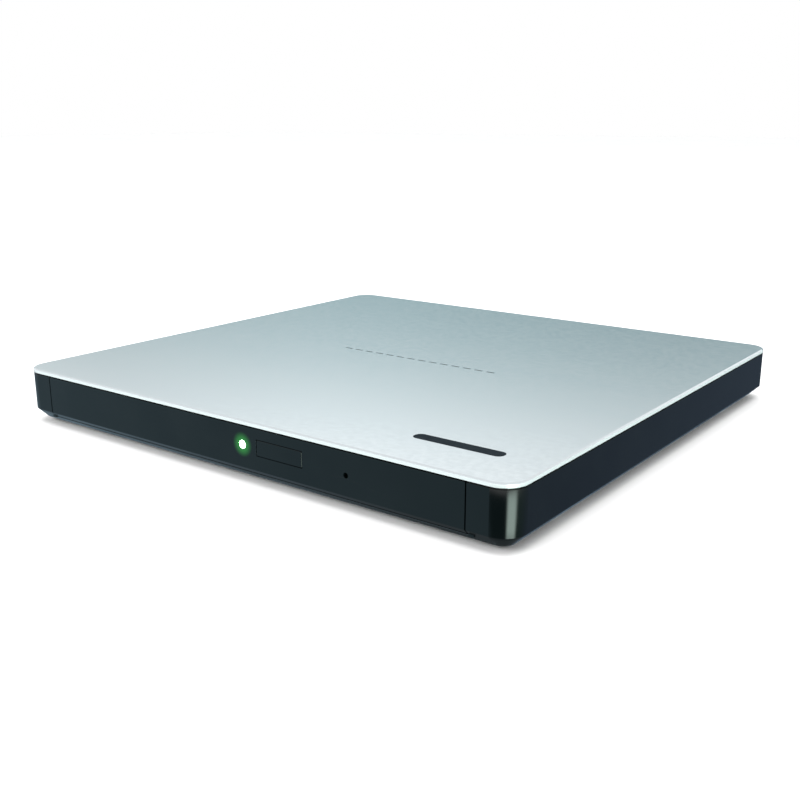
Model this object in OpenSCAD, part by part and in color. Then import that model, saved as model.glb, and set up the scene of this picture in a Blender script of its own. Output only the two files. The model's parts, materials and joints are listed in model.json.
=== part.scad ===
// Slim external optical drive: a low two-piece case around a tray-loading disc drive.
// Origin at the centre of the rest face under the feet, front towards -Y, up +Z, millimetres.

/* [Case] */
// Width of the case
body_w = 144; // [141:0.5:180]
// Depth of the case, front face to rear face
body_d = 137.5; // [137:0.5:180]
// Height from the rest face to the top of the lid
body_h = 14; // [13.6:0.1:18]
// Radius of the upright corners of the case
corner_r = 5; // [4:0.25:7]
// Thickness of the case's upright walls
wall_t = 1.5; // [1.2:0.1:1.8]
// Thickness of the case's floor
floor_t = 1.2; // [1:0.1:1.4]
// Thickness of the silver top cover
cover_t = 1; // [0.8:0.1:1.4]
// Chamfer round the top cover's upper edge
cover_chamfer = 0.3; // [0.1:0.05:0.5]
// Height of the sloped belly below the side walls
belly_rise = 2.5; // [2:0.1:3]
// How far the belly slopes in
belly_inset = 2.5; // [2:0.1:3]
// Height and depth of the shadow groove under the top cover
shadow_gap = 0.35; // [0.2:0.05:0.5]
// Height of the rubber feet below the belly
foot_h = 1; // [0.8:0.1:1.6]
// Diameter of the rubber feet
foot_d = 9; // [6:0.5:12]
// Depth of the pocket that each foot is glued into
foot_seat = 0.5; // [0.3:0.1:0.7]
// Distance from the case's edges to the centre of each foot
foot_margin = 13; // [11:0.5:18]
// Diameter of the case screws
case_screw_d = 2; // [1.6:0.1:2.4]
// Diameter of the case screws' heads
case_head_d = 3.6; // [3:0.1:4.2]
// Diameter of the bosses that the case screws bite into
boss_d = 5; // [4.2:0.1:5.4]
// Distance between the front and rear case screws
case_screw_span = 92; // [60:1:96]
// Size of the blank label on the belly, left to right
label_w = 62; // [40:1:70]
// Size of the blank label on the belly, front to back
label_d = 34; // [20:1:40]
// Thickness of the label and depth of its pocket
label_t = 0.2; // [0.1:0.05:0.3]
// Length of the blank badge on the top cover
badge_l = 21; // [10:1:24]
// Width of the blank badge
badge_w = 3.2; // [2:0.2:4]
// Depth of the badge's pocket
badge_t = 0.3; // [0.2:0.1:0.5]

/* [Front] */
// Thickness of the tray's front bezel
bezel_t = 1.8; // [1.6:0.1:2.4]
// Clearance round the bezel, to the case
seam_gap = 0.3; // [0.25:0.05:0.5]
// Centre of the eject button to the right of the middle
button_x = 16.3; // [14:0.1:20]
// Width of the eject button
button_w = 12.6; // [9:0.1:14]
// Height of the eject button
button_h = 3.4; // [2.6:0.1:3.8]
// Clearance between the button and the bezel
button_gap = 0.15; // [0.1:0.05:0.2]
// Travel of the eject button
button_travel = 0.5; // [0.3:0.05:0.5]
// Status light to the right of the middle
led_x = 5.8; // [3:0.1:6]
// Diameter of the status light's lens
led_d = 1.8; // [1.4:0.1:2]
// Height of the button and the light above the floor's underside
front_z = 7.6; // [7:0.1:8]
// Emergency eject hole to the right of the middle
pinhole_x = 34.2; // [32:0.1:36]
// Diameter of the emergency eject hole
pinhole_d = 1.2; // [1:0.1:1.5]

/* [Disc and tray] */
// Diameter of the disc that the drive takes
disc_d = 120; // [118:0.5:122]
// Thickness of the disc
disc_t = 1.2; // [1.1:0.1:1.3]
// Diameter of the disc's centre hole
disc_hole_d = 15; // [15:0.05:15.3]
// Clearance round the disc in its recess
disc_gap = 0.5; // [0.4:0.05:0.8]
// Height of the disc above the recess floor
disc_lift = 0.9; // [0.8:0.05:1]
// How far the tray slides out
tray_travel = 126; // [60:1:128]
// Thickness of the wall between the recess and the tray's front
tray_front_t = 2.45; // [2.3:0.05:3]
// Thickness of the recess floor
recess_t = 1.2; // [1:0.1:1.3]
// Thickness of the tray's top deck
deck_t = 1.2; // [1:0.1:1.4]
// Thickness of the tray's side skirts
skirt_t = 0.8; // [0.6:0.1:1]
// Width of the deck's strip beside the disc recess
deck_lip = 1.1; // [0.9:0.1:1.2]
// Distance that the recess overhangs the tray's skirts
rail_inset = 1.5; // [1.4:0.1:1.8]
// Clearance between the tray and the chassis floor
tray_lift = 0.4; // [0.35:0.05:0.5]

/* [Rails] */
// Height of the sliding rails
rail_h = 3.5; // [3:0.1:3.6]
// Thickness of the rails' steel
rail_t = 0.6; // [0.5:0.05:0.7]
// Running clearance of the rails in their guides and round the tray's runners
rail_gap = 0.1; // [0.08:0.01:0.12]
// Thickness of the guides' lips and back
guide_t = 0.6; // [0.5:0.05:0.8]
// Length of the rail guides
guide_l = 62; // [50:1:64]
// Clearance from the skirts to the rails
skirt_gap = 0.3; // [0.25:0.05:0.35]

/* [Drive chassis] */
// Height of the drive inside the case
drive_h = 9.5; // [9.4:0.1:9.8]
// Thickness of the chassis and cover sheet
sheet_t = 0.5; // [0.4:0.05:0.6]
// Thickness of the upper cover's side flanges
flange_t = 0.4; // [0.3:0.05:0.5]
// Height of the upper cover's side flanges
flange_h = 2.5; // [1.5:0.1:3]
// Space between the tray's rear edge and the chassis's rear wall
rear_gap = 4; // [3.8:0.1:5]
// Distance that the tray's rear edge stops short of the recess's rearmost point
tray_back_cut = 2.5; // [2:0.1:3]
// Radius of the latch post
post_r = 1.2; // [1:0.1:1.3]
// Height of the latch post above the chassis floor
post_h = 2.4; // [2:0.1:2.6]
// Distance from the tray's side skirt in to the latch post
post_inset = 14.5; // [13:0.1:14.5]

/* [Spindle] */
// Diameter of the spindle motor's rotor
rotor_d = 22; // [20:0.5:23]
// Thickness of the rotor's wall
rotor_t = 0.6; // [0.5:0.05:0.7]
// Diameter of the spindle shaft
shaft_d = 2; // [1.6:0.1:2.2]
// Radial running clearance of shafts in their bearings
running_gap = 0.04; // [0.02:0.01:0.08]
// Diameter of the turntable that carries the disc
turntable_d = 28; // [26:0.5:30]
// Thickness of the turntable's flange
turntable_t = 1; // [0.8:0.1:1.1]
// Thickness of the rubber ring under the disc
pad_t = 0.6; // [0.4:0.1:0.7]
// Clearance between the hub's nose and the disc's hole, on the radius
hub_gap = 0.15; // [0.05:0.01:0.2]
// Height of the hub's nose above the disc seat
hub_h = 1.9; // [1.8:0.05:2.1]
// How far each chuck claw springs in
claw_travel = 0.6; // [0.4:0.05:0.6]
// Width of each chuck claw
claw_w = 2.2; // [1.8:0.1:2.6]

/* [Pickup] */
// Direction in which the pickup moves away from the spindle, in degrees from +X
sled_angle = 135; // [133:1:137]
// Distance from the spindle to the lens at the inner end of its travel
lens_in = 24; // [24:0.5:25]
// Travel of the pickup
sled_travel = 33; // [28:0.5:33]
// Diameter of the guide rods
rod_d = 1.6; // [1.5:0.1:1.7]
// Half the distance between the guide rods
rod_v = 14; // [13.6:0.1:14.4]
// Diameter of the objective lens
lens_d = 3.6; // [3:0.1:4]
// Focus travel of the lens each way
focus_travel = 0.4; // [0.3:0.05:0.4]
// Outer diameter of the lead screw
screw_d = 2.5; // [2:0.1:2.5]
// Thickness of the traverse frame's plate
frame_t = 0.5; // [0.4:0.05:0.6]

/* [Boards and socket] */
// Thickness of the main board
board_t = 1; // [0.8:0.1:1.2]
// Thickness of the bridge board behind the drive
bridge_t = 1; // [0.8:0.1:1.2]
// USB socket to the right of the middle
usb_x = -34; // [-50:1:-20]
// Width of the USB socket's shell
usb_w = 7.7; // [7:0.1:8.4]
// Height of the USB socket's shell
usb_h = 3.95; // [3:0.05:4.2]
// Depth of the USB socket's shell
usb_l = 8.6; // [8:0.1:9]
// Thickness of the USB socket's shell
usb_t = 0.35; // [0.3:0.05:0.4]
// Width of the flat flexible cable
ffc_w = 10; // [8:0.5:11]
// Thickness of the flat flexible cable
ffc_t = 0.2; // [0.15:0.05:0.25]
// Spare length of the flat flexible cable with the tray right out
ffc_slack = 13.5; // [13:0.5:16]

/* [Hidden] */
$fn = 64;
far = 400;
part_gap = 0.1;
lap = 0.2;
move_gap = 0.3;

// Case levels and faces
half_w = body_w / 2;
half_d = body_d / 2;
front_y = -half_d;
belly_z = foot_h;
band_z = belly_z + belly_rise;
floor_z = belly_z + floor_t;
cover_z = body_h - cover_t;
inner_w = half_w - wall_t;
inner_d = half_d - wall_t;
low_inset = belly_inset + 1;
boss_base_h = 2.3;
case_screw_l = 6.4;
case_head_h = 1.3;
head_sink = 0.3;
label_r = 2;
return_t = 1.2;
rib_t = 1.2;
rib_l = 18;
rib_y = 28;
button_z = foot_h + front_z;
badge_at = [half_w - 20.5, front_y + 13.5];

// Bezel and tray front
bezel_back = front_y + bezel_t;
bezel_z0 = floor_z + seam_gap;
bezel_z1 = cover_z - seam_gap;

// Disc, recess and tray, across
disc_r = disc_d / 2;
recess_r = disc_r + disc_gap;
disc_y = bezel_back + tray_front_t + recess_r;
deck_x = recess_r + deck_lip;
skirt_x = recess_r - rail_inset;
skirt_in = skirt_x - skirt_t;
tray_back = disc_y + recess_r - tray_back_cut;
bezel_x = deck_x + move_gap;
pin_z = button_z - 0.8;
tab_x = 42;
tab_w = 8;
tab_l = 6;
tab_t = 0.6;
peg_r = 0.8;
peg_y = bezel_back + 4.5;
opening_x = bezel_x + seam_gap;
wall_back = bezel_back + 1.75;
button_flange_y = bezel_back + 0.3;

// Rails and guides, across
flange_x = skirt_x + skirt_gap;
rail_x = deck_x - 0.4;
guide_in = rail_x + rail_gap;
chassis_in = guide_in + guide_t + 0.6;
chassis_x = chassis_in + sheet_t;
guide_lip = 0.9;
chassis_front = front_y + 5.25;
chassis_back = tray_back + rear_gap;
runner_y0 = chassis_front + 1.5;

// Heights inside the drive
chassis_z = floor_z;
sheet_z = chassis_z + sheet_t;
drive_top = chassis_z + drive_h;
lid_z = drive_top - sheet_t;
tray_z = sheet_z + tray_lift;
seat_z = lid_z - hub_h - 1;
recess_z = seat_z - disc_lift;
under_z = recess_z - recess_t;
deck_z = seat_z + disc_t + disc_gap;
deck_under = deck_z - deck_t;
guide_z1 = deck_under - move_gap;
rail_z1 = guide_z1 - guide_t - rail_gap;
rail_z0 = rail_z1 - rail_h;
guide_z0 = rail_z0 - rail_gap - guide_t;

// Traverse unit, measured from the spindle along the pickup's path
plate_z = tray_z + 0.6;
plate_top = plate_z + frame_t;
rod_r = rod_d / 2;
rod_z = plate_top + rod_r;
lens_r = lens_d / 2;
screw_r = screw_d / 2;
screw_v = -20.5;
screw_z = under_z - 0.1 - screw_r;
frame_outer = lens_in + sled_travel + 8;
screw_end = frame_outer - 11.1;
window_u0 = 13.3;
window_u1 = frame_outer - 2.2;
window_v0 = -16.8;
window_v1 = 16.2;
frame_v = 22;
journal_r = 0.6;
rod_seat_in = 2.5;
rod_seat_out = 2;
rod_block_w = 3.2;
stepper_r = 3;
stepper_u0 = 6.6;
stepper_u1 = 16.2;
motor_base_r = 12.6;
motor_base_t = 0.4;
stator_teeth = 9;
holder_l = 6.4;
holder_w = 8.8;
screw_start = 17;
journal_start = 15.3;
shaft_r = shaft_d / 2;
bush_r = shaft_r + running_gap + 1.2;
rotor_r = rotor_d / 2;
rotor_z1 = seat_z - pad_t - turntable_t;
rotor_z0 = plate_top + 0.6;
turntable_r = turntable_d / 2;
nose_r = disc_hole_d / 2 - hub_gap;
nose_z = seat_z - pad_t;
nose_top = seat_z + hub_h;
claw_z0 = seat_z + 0.4;
claw_z1 = seat_z + 1.55;
claw_lip_z = seat_z + disc_t + 0.05;
claw_slot = 3;
claw_spring = 1;
claw_back = claw_slot + claw_travel + claw_spring;
claw_reach = nose_r + 0.55;
sled_z0 = plate_z + 0.05;
sled_top = recess_z - 0.2;
sled_low = under_z - 0.15;
sled_in = 6;
sled_out = 5;
lens_pocket_z = sled_top - 1.5;
holder_z0 = lens_pocket_z + focus_travel + 0.2;
holder_z1 = sled_top + 0.2;

// Boards, in the space under the recess floor
board_z = tray_z + 1.1;
board_top = board_z + board_t;
nub_z0 = board_top + 0.2;
board_front = front_y + 4.25;
ffc_x0 = 34 - ffc_w / 2;
ffc_side = 1.2;
ffc_low_z = sheet_z + 0.05;
ffc_high_z = board_z - 0.45;
ffc_tray_y = disc_y + 26;
ffc_fold_y = ffc_tray_y - (tray_travel + ffc_slack) / 2;
ffc_case_y = tray_back + 0.3;
card_y = chassis_back - sheet_t - 1.1;
card_t = 1;
sata_x = 27;
sata_w = 34;
sata_z = sheet_z + 3.6;
sata_slot_l = 2.4;
sata_h = 3.2;
sata_side = 2;
sata_tongue_z = sata_z + 1;
sata_tongue_t = 1.2;
bridge_z = sata_z - 1.2;
bridge_y0 = chassis_back + 1;
bridge_y1 = half_d - wall_t - 0.25;
bridge_top = bridge_z + bridge_t;
bridge_w = 120;
bridge_screw_xs = [4 - bridge_w / 2, bridge_w / 2 - 4];
bridge_post_r = 1.8;
bridge_screw_r = 0.7;
bridge_head_h = 0.8;
small_head_r = 1.5;
socket_l = 3.8;
usb_back_t = 0.8;
usb_block_l = 1.2;
usb_tongue_w = 3.8;
bridge_screw_y = (bridge_y0 + bridge_y1) / 2;
usb_front = half_d - usb_l - 0.2;
usb_z = bridge_top;

// Latch and emergency release, at the tray's right front
post_x = skirt_x - post_inset;
post_y = front_y + 18.75;
pivot = [post_x + 4.5, front_y + 8.75];
pivot_r = 0.9;
lever_z = tray_z + 0.3;
lever_t = 1.1;
hook_y = post_y + post_r + 1;
hook_clear = 0.5;
solenoid_x = post_x - 8.5;
solenoid_y0 = pivot[1] + 1.7;
solenoid_w = 9;
solenoid_cheek = 1;
solenoid_l = 8;

// Ejector plunger at the tray's rear edge
ejector_x = skirt_x - 6;
ejector_z = recess_z - 0.2;
ejector_r = 0.8;
ejector_tip = chassis_back - sheet_t - move_gap;
ejector_l = 14;

// Fastener places
boss_x = inner_w - boss_d / 2 - 0.4;
boss_y = case_screw_span / 2;
ear_ys = [chassis_front + 4, chassis_back - 4];
ear_x = chassis_in - 2.1;
ear_screw_r = 0.8;
ear_w = 4.4;
ear_l = 5;
ear_head_h = 0.5;
foam_y = 46;
foam_w = 7;
foam_l = 96;
mount_r = 1.6;
mount_screw_r = 0.6;
damper_h = 0.7;
plate_t = 0.3;
cover_boss_places = [[6.5 - recess_r, bezel_back + 22.95], [-16, bezel_back + 20.95], [20, tray_back - 20],
    [2, tray_back - 8]];
damper_places = [[-13.5, -13.5], [-13.5, 13.5], [frame_outer - 7.5, 19], [frame_outer - 6.5, -19]];

// A block between two opposite corners
module block(x0, x1, y0, y1, z0, z1) {
    translate([x0, y0, z0])
        cube([x1 - x0, y1 - y0, z1 - z0]);
}

// An upright cylinder between two heights
module post(x, y, r, z0, z1) {
    translate([x, y, z0])
        cylinder(r = r, h = z1 - z0);
}

// An upright ring between two heights
module ring(r_out, r_in, z0, z1) {
    difference() {
        post(0, 0, r_out, z0, z1);
        post(0, 0, r_in, z0 - 1, z1 + 1);
    }
}

// A cylinder that runs towards +Y
module rod_y(x, z, r, y0, y1) {
    translate([x, y1, z])
        rotate([90, 0, 0])
            cylinder(r = r, h = y1 - y0);
}

// A cylinder that runs towards +X
module rod_x(y, z, r, x0, x1) {
    translate([x0, y, z])
        rotate([0, 90, 0])
            cylinder(r = r, h = x1 - x0);
}

// The profile points [y, z] drawn from x0 to x1
module profile_x(points, x0, x1) {
    translate([x0, 0, 0])
        rotate([90, 0, 90])
            linear_extrude(x1 - x0)
                polygon(points);
}

// A rectangle with round corners
module round_rect(w, d, r) {
    square([w - 2 * r, d], center = true);
    square([w, d - 2 * r], center = true);
    for (x = [-1, 1], y = [-1, 1])
        translate([x * (w / 2 - r), y * (d / 2 - r)])
            circle(r);
}

// An upright slab with round corners
module slab(w, d, r, z0, z1) {
    translate([0, 0, z0])
        linear_extrude(z1 - z0)
            round_rect(w, d, r);
}

// A slab with round corners whose sides lean out by inset over its height
module flare(w, d, r, h, inset) {
    profile_x([[-d / 2 + inset, 0], [d / 2 - inset, 0], [d / 2, h], [-d / 2, h]], -w / 2 + r, w / 2 - r);
    rotate([0, 0, 90])
        profile_x([[-w / 2 + inset, 0], [w / 2 - inset, 0], [w / 2, h], [-w / 2, h]], -d / 2 + r, d / 2 - r);
    for (x = [-1, 1], y = [-1, 1])
        translate([x * (w / 2 - r), y * (d / 2 - r), 0])
            cylinder(r1 = r - inset, r2 = r, h = h);
}

// A pan-head screw with a cross recess, its head's top at the origin and its shank towards -Z
module pan_screw(shank_r, shank_l, head_r, head_h) {
    slot = head_r * 0.36;
    difference() {
        union() {
            translate([0, 0, -head_h])
                cylinder(r = head_r, h = head_h);
            translate([0, 0, -head_h - shank_l])
                cylinder(r = shank_r, h = shank_l);
        }
        for (a = [0, 90])
            rotate([0, 0, a])
                block(-head_r * 0.62, head_r * 0.62, -slot / 2, slot / 2, -head_h * 0.6, 1);
    }
}

// Puts children in the traverse unit's frame: +X along the pickup's path, origin on the spindle
module at_spindle(angle = sled_angle) {
    translate([0, disc_y, 0])
        rotate([0, 0, angle])
            children();
}

module at_feet() {
    for (x = [-1, 1], y = [-1, 1])
        translate([x * (half_w - foot_margin), y * (half_d - foot_margin), 0])
            children();
}

module at_case_bosses() {
    for (x = [-1, 1], y = [-1, 1])
        translate([x * boss_x, y * boss_y, 0])
            children();
}

// ---- Case ----

module top_cover() {
    color("silver")
        difference() {
            union() {
                slab(body_w, body_d, corner_r, cover_z, body_h - cover_chamfer);
                translate([0, 0, body_h])
                    mirror([0, 0, 1])
                        flare(body_w, body_d, corner_r, cover_chamfer, cover_chamfer);
                at_case_bosses()
                    post(0, 0, boss_d / 2, floor_z + boss_base_h + part_gap, cover_z);
            }
            at_case_bosses()
                post(0, 0, case_screw_d / 2, floor_z, cover_z - 1);
            translate([badge_at[0], badge_at[1], body_h - badge_t])
                linear_extrude(badge_t + 1)
                    badge_outline();
        }
}

module badge_outline() {
    round_rect(badge_l, badge_w, badge_w / 2 - 0.1);
}

module cover_badge() {
    color("dimgray")
        translate([badge_at[0], badge_at[1], body_h - badge_t])
            linear_extrude(badge_t)
                badge_outline();
}

module bottom_case() {
    color([0.1, 0.11, 0.12])
        difference() {
            union() {
                case_shell();
                at_case_bosses()
                    post(0, 0, boss_d / 2, floor_z - lap, floor_z + boss_base_h);
                for (x = [-1, 1])
                    corner_return(x);
                drive_ribs();
                bridge_posts();
            }
            at_case_bosses() {
                post(0, 0, case_screw_d / 2 + part_gap, 0, far);
                post(0, 0, case_head_d / 2 + part_gap, 0, belly_z + head_sink + case_head_h);
            }
            at_feet()
                post(0, 0, foot_d / 2, belly_z - 1, belly_z + foot_seat);
            slab(label_w, label_d, label_r, belly_z - 1, belly_z + label_t);
            usb_opening();
            for (x = bridge_screw_xs)
                post(x, bridge_screw_y, bridge_screw_r, floor_z, bridge_z + 1);
        }
}

module case_shell() {
    difference() {
        union() {
            translate([0, 0, belly_z])
                flare(body_w, body_d, corner_r, belly_rise, belly_inset);
            slab(body_w, body_d, corner_r, band_z, cover_z - shadow_gap);
            slab(body_w - 2 * shadow_gap, body_d - 2 * shadow_gap, corner_r - shadow_gap, band_z, cover_z);
        }
        slab(inner_w * 2, inner_d * 2, corner_r - wall_t, band_z, far);
        slab(body_w - 2 * low_inset, body_d - 2 * low_inset, 2, floor_z, far);
        block(-opening_x, opening_x, front_y - 1, front_y + low_inset + 1, floor_z, far);
    }
}

// The wall that turns in beside the bezel
module corner_return(side) {
    x0 = side > 0 ? opening_x : -opening_x - return_t;
    block(x0, x0 + return_t, front_y + 1, chassis_front - 0.2, floor_z - lap, cover_z);
}

// Ribs that hold the drive from the sides
module drive_ribs() {
    for (x = [-1, 1], y = [-1, 1])
        translate([x * (chassis_x + part_gap + rib_t / 2), y * rib_y, 0])
            block(-rib_t / 2, rib_t / 2, -rib_l / 2, rib_l / 2, floor_z - lap, lid_z - flange_h - 0.6);
}

module bridge_posts() {
    for (x = bridge_screw_xs)
        post(x, bridge_screw_y, bridge_post_r, floor_z - lap, bridge_z);
}

module usb_opening() {
    block(usb_x - usb_w / 2 - part_gap, usb_x + usb_w / 2 + part_gap, half_d - 3, half_d + 1,
        usb_z - part_gap, usb_z + usb_h + part_gap);
}

module rubber_feet() {
    color([0.12, 0.12, 0.12])
        at_feet()
            post(0, 0, foot_d / 2, 0, belly_z + foot_seat);
}

module case_screws() {
    color("silver")
        at_case_bosses()
            translate([0, 0, belly_z + head_sink])
                mirror([0, 0, 1])
                    pan_screw(case_screw_d / 2, case_screw_l, case_head_d / 2, case_head_h);
}

module label_plate() {
    color("gainsboro")
        slab(label_w, label_d, label_r, belly_z, belly_z + label_t);
}

// ---- Drive chassis ----

module lower_chassis() {
    color("lightsteelblue")
        difference() {
            union() {
                difference() {
                    block(-chassis_x, chassis_x, chassis_front, chassis_back, chassis_z, lid_z);
                    block(-chassis_in, chassis_in, chassis_front - 1, chassis_back - sheet_t, sheet_z, far);
                }
                for (x = [-1, 1], y = ear_ys)
                    translate([x * ear_x, y, 0])
                        block(-ear_w / 2, ear_w / 2, -ear_l / 2, ear_l / 2, lid_z - sheet_t, lid_z);
                post(post_x, post_y, post_r, chassis_z, sheet_z + post_h);
            }
            for (x = [-1, 1], y = ear_ys)
                post(x * ear_x, y, ear_screw_r, lid_z - 1, far);
            block(sata_x - sata_w / 2 - 1, sata_x + sata_w / 2 + 1, chassis_back - 1, chassis_back + 1,
                sata_z - 0.6, sata_z + 3.8);
            for (x = [-36, 0], y = [-30, 22])
                post(x, y, 2, chassis_z - 1, sheet_z + 1);
        }
}

module upper_chassis_cover() {
    color("lightgray")
        difference() {
            union() {
                block(-chassis_x, chassis_x, chassis_front, chassis_back, lid_z, drive_top);
                for (x = [-1, 1])
                    translate([x * (chassis_x + flange_t / 2), 0, 0])
                        block(-flange_t / 2, flange_t / 2, chassis_front, chassis_back,
                            lid_z - flange_h + sheet_t, drive_top);
            }
            for (x = [-1, 1], y = ear_ys)
                post(x * ear_x, y, ear_screw_r + part_gap, 0, far);
            at_spindle()
                post(0, 0, 4, lid_z - 1, far);
        }
}

module chassis_screws() {
    color("silver")
        for (x = [-1, 1], y = ear_ys)
            translate([x * ear_x, y, drive_top + ear_head_h])
                pan_screw(ear_screw_r, sheet_t + 0.8, small_head_r, ear_head_h);
}

// A channel on the chassis wall that a rail slides in
module rail_guide() {
    y0 = chassis_front;
    y1 = chassis_front + guide_l;
    block(guide_in, chassis_in, y0, y1, guide_z0, guide_z1);
    block(guide_in - guide_lip, guide_in, y0, y1, guide_z0, guide_z0 + guide_t);
    block(guide_in - guide_lip, guide_in, y0, y1, guide_z1 - guide_t, guide_z1);
}

module rail_guide_left() {
    color("whitesmoke")
        mirror([1, 0, 0])
            rail_guide();
}

module rail_guide_right() {
    color("whitesmoke")
        rail_guide();
}

module foam_strips() {
    color("darkslategray")
        for (y = [-foam_y, foam_y])
            block(-foam_l / 2, foam_l / 2, y - foam_w / 2, y + foam_w / 2, drive_top, cover_z);
}

module interface_card() {
    color("darkgreen")
        block(sata_x - 18, sata_x + 20, card_y, card_y + card_t, sheet_z + 0.1, lid_z - 0.6);
}

module rear_flex_connector() {
    color("ivory")
        difference() {
            block(ffc_x0 - ffc_side, ffc_x0 + ffc_w + ffc_side, ffc_case_y, card_y, sheet_z, sheet_z + 1.8);
            block(ffc_x0, ffc_x0 + ffc_w, ffc_case_y - 1, ffc_case_y + 2, ffc_low_z, ffc_low_z + ffc_t);
        }
}

// The drive's plug, whose tongue goes into the socket on the bridge board
module drive_plug() {
    color([0.12, 0.12, 0.12]) {
        block(sata_x - sata_w / 2, sata_x + sata_w / 2, card_y + card_t, chassis_back + 0.6, sata_z,
            sata_z + sata_h);
        block(sata_x - sata_w / 2 + sata_side, sata_x + sata_w / 2 - sata_side, chassis_back + 0.6,
            chassis_back + 0.6 + sata_slot_l, sata_tongue_z, sata_tongue_z + sata_tongue_t);
    }
}

module bridge_socket() {
    color([0.2, 0.2, 0.22])
        difference() {
            block(sata_x - sata_w / 2, sata_x + sata_w / 2, chassis_back + 0.7, chassis_back + 0.7 + socket_l,
                bridge_top, bridge_top + 3.8);
            block(sata_x - sata_w / 2 + sata_side - part_gap, sata_x + sata_w / 2 - sata_side + part_gap,
                chassis_back, chassis_back + 0.7 + sata_slot_l, sata_tongue_z - part_gap,
                sata_tongue_z + sata_tongue_t + part_gap);
        }
}

module bridge_board() {
    color("darkgreen")
        difference() {
            block(-bridge_w / 2, bridge_w / 2, bridge_y0, bridge_y1, bridge_z, bridge_top);
            for (x = bridge_screw_xs)
                post(x, bridge_screw_y, bridge_screw_r + part_gap, 0, far);
        }
}

module bridge_chips() {
    y = (bridge_y0 + bridge_y1) / 2;
    color([0.12, 0.12, 0.13]) {
        block(-19, -12, y - 3.1, y + 3.1, bridge_top, bridge_top + 0.9);
        block(-7, -3, y - 1.6, y + 1.6, bridge_top, bridge_top + 0.7);
        block(0, 4.5, y - 2.5, y + 2.5, bridge_top, bridge_top + 1.1);
    }
}

module bridge_screws() {
    color("silver")
        for (x = bridge_screw_xs)
            translate([x, bridge_screw_y, bridge_top + bridge_head_h])
                pan_screw(bridge_screw_r, bridge_t + 2, small_head_r, bridge_head_h);
}

module usb_shell() {
    color("silver")
        difference() {
            block(usb_x - usb_w / 2, usb_x + usb_w / 2, usb_front, usb_front + usb_l, usb_z, usb_z + usb_h);
            block(usb_x - usb_w / 2 + usb_t, usb_x + usb_w / 2 - usb_t, usb_front + usb_back_t, half_d + 1,
                usb_z + usb_t, usb_z + usb_h - usb_t);
        }
}

module usb_contact_block() {
    color([0.1, 0.1, 0.1]) {
        block(usb_x - usb_w / 2 + usb_t, usb_x + usb_w / 2 - usb_t, usb_front + usb_back_t,
            usb_front + usb_back_t + usb_block_l, usb_z + usb_t, usb_z + usb_h - usb_t);
        block(usb_x - usb_tongue_w / 2, usb_x + usb_tongue_w / 2, usb_front + 2, usb_front + usb_l - 1.4,
            usb_z + usb_h / 2 - 0.2, usb_z + usb_h / 2 + 0.6);
    }
}

// A flat cable along the chassis floor that folds back to the board on the tray
module flex_cable() {
    fold_r = (ffc_high_z - ffc_low_z) / 2;
    color("white") {
        block(ffc_x0, ffc_x0 + ffc_w, ffc_fold_y, ffc_case_y + 1.9, ffc_low_z, ffc_low_z + ffc_t);
        block(ffc_x0, ffc_x0 + ffc_w, ffc_fold_y, ffc_tray_y, ffc_high_z, ffc_high_z + ffc_t);
        translate([0, ffc_fold_y, ffc_low_z + fold_r + ffc_t / 2])
            difference() {
                rod_x(0, 0, fold_r + ffc_t / 2, ffc_x0, ffc_x0 + ffc_w);
                rod_x(0, 0, fold_r - ffc_t / 2, ffc_x0 - 1, ffc_x0 + ffc_w + 1);
                block(ffc_x0 - 1, ffc_x0 + ffc_w + 1, 0, 5, -5, 5);
            }
    }
}

// ---- Tray ----

module tray() {
    color([0.17, 0.18, 0.19])
        difference() {
            union() {
                tray_shell();
                for (p = cover_boss_places)
                    post(p[0], p[1], mount_r, tray_z + plate_t, boss_top(p));
                at_spindle()
                    for (p = damper_places)
                        post(p[0], p[1], mount_r, plate_top + damper_h, under_z + lap);
                post(pivot[0], pivot[1], mount_r, lever_z + lever_t + 0.9, deck_under + 0.1);
                block(ejector_x - 2, ejector_x + 2, tray_back - 7, tray_back, ejector_z - 1.6,
                    deck_under + 0.1);
            }
            for (p = cover_boss_places)
                post(p[0], p[1], mount_screw_r, 0, tray_z + 2.4);
            at_spindle()
                for (p = damper_places)
                    post(p[0], p[1], mount_screw_r, 0, under_z + 0.6);
            post(pivot[0], pivot[1], pivot_r, 0, deck_under - 0.6);
            rod_y(ejector_x, ejector_z, ejector_r + 0.05, tray_back - ejector_l - 6, tray_back + 1);
            traverse_opening();
            front_pockets();
            // way through for the latch post
            block(post_x - post_r - 0.5, post_x + post_r + 0.5, tray_back - 2, tray_back + 1, 0,
                sheet_z + post_h + 0.4);
        }
}

function boss_top(p) = norm([p[0], p[1] - disc_y]) > recess_r + 1 ? deck_under + 0.1 : under_z + 0.1;

module tray_shell() {
    difference() {
        union() {
            block(-deck_x, deck_x, bezel_back, tray_back, deck_under, deck_z);
            block(-skirt_x, skirt_x, bezel_back, tray_back, tray_z, deck_under);
            for (x = [-1, 1])
                translate([x * skirt_x, 0, 0])
                    block(-(rail_x - rail_t - 0.2 - skirt_x), rail_x - rail_t - 0.2 - skirt_x, runner_y0,
                        tray_back, rail_z0 + rail_t + rail_gap, rail_z1 - rail_t - rail_gap);
        }
        post(0, disc_y, recess_r, recess_z, far);
        block(-skirt_in, skirt_in, wall_back, tray_back - skirt_t, 0, under_z);
        difference() {
            block(-skirt_in, skirt_in, wall_back, tray_back - skirt_t, 0, deck_under);
            post(0, disc_y, recess_r + 1.2, 0, far);
        }
    }
}

// The opening in the recess floor for the turntable and the pickup
module traverse_opening() {
    post(0, disc_y, turntable_r + 0.9, under_z - 1, recess_z + 0.1);
    at_spindle()
        block(0, frame_outer - 2.4, -12.2, 12.2, under_z - 1, recess_z + 0.1);
}

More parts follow.
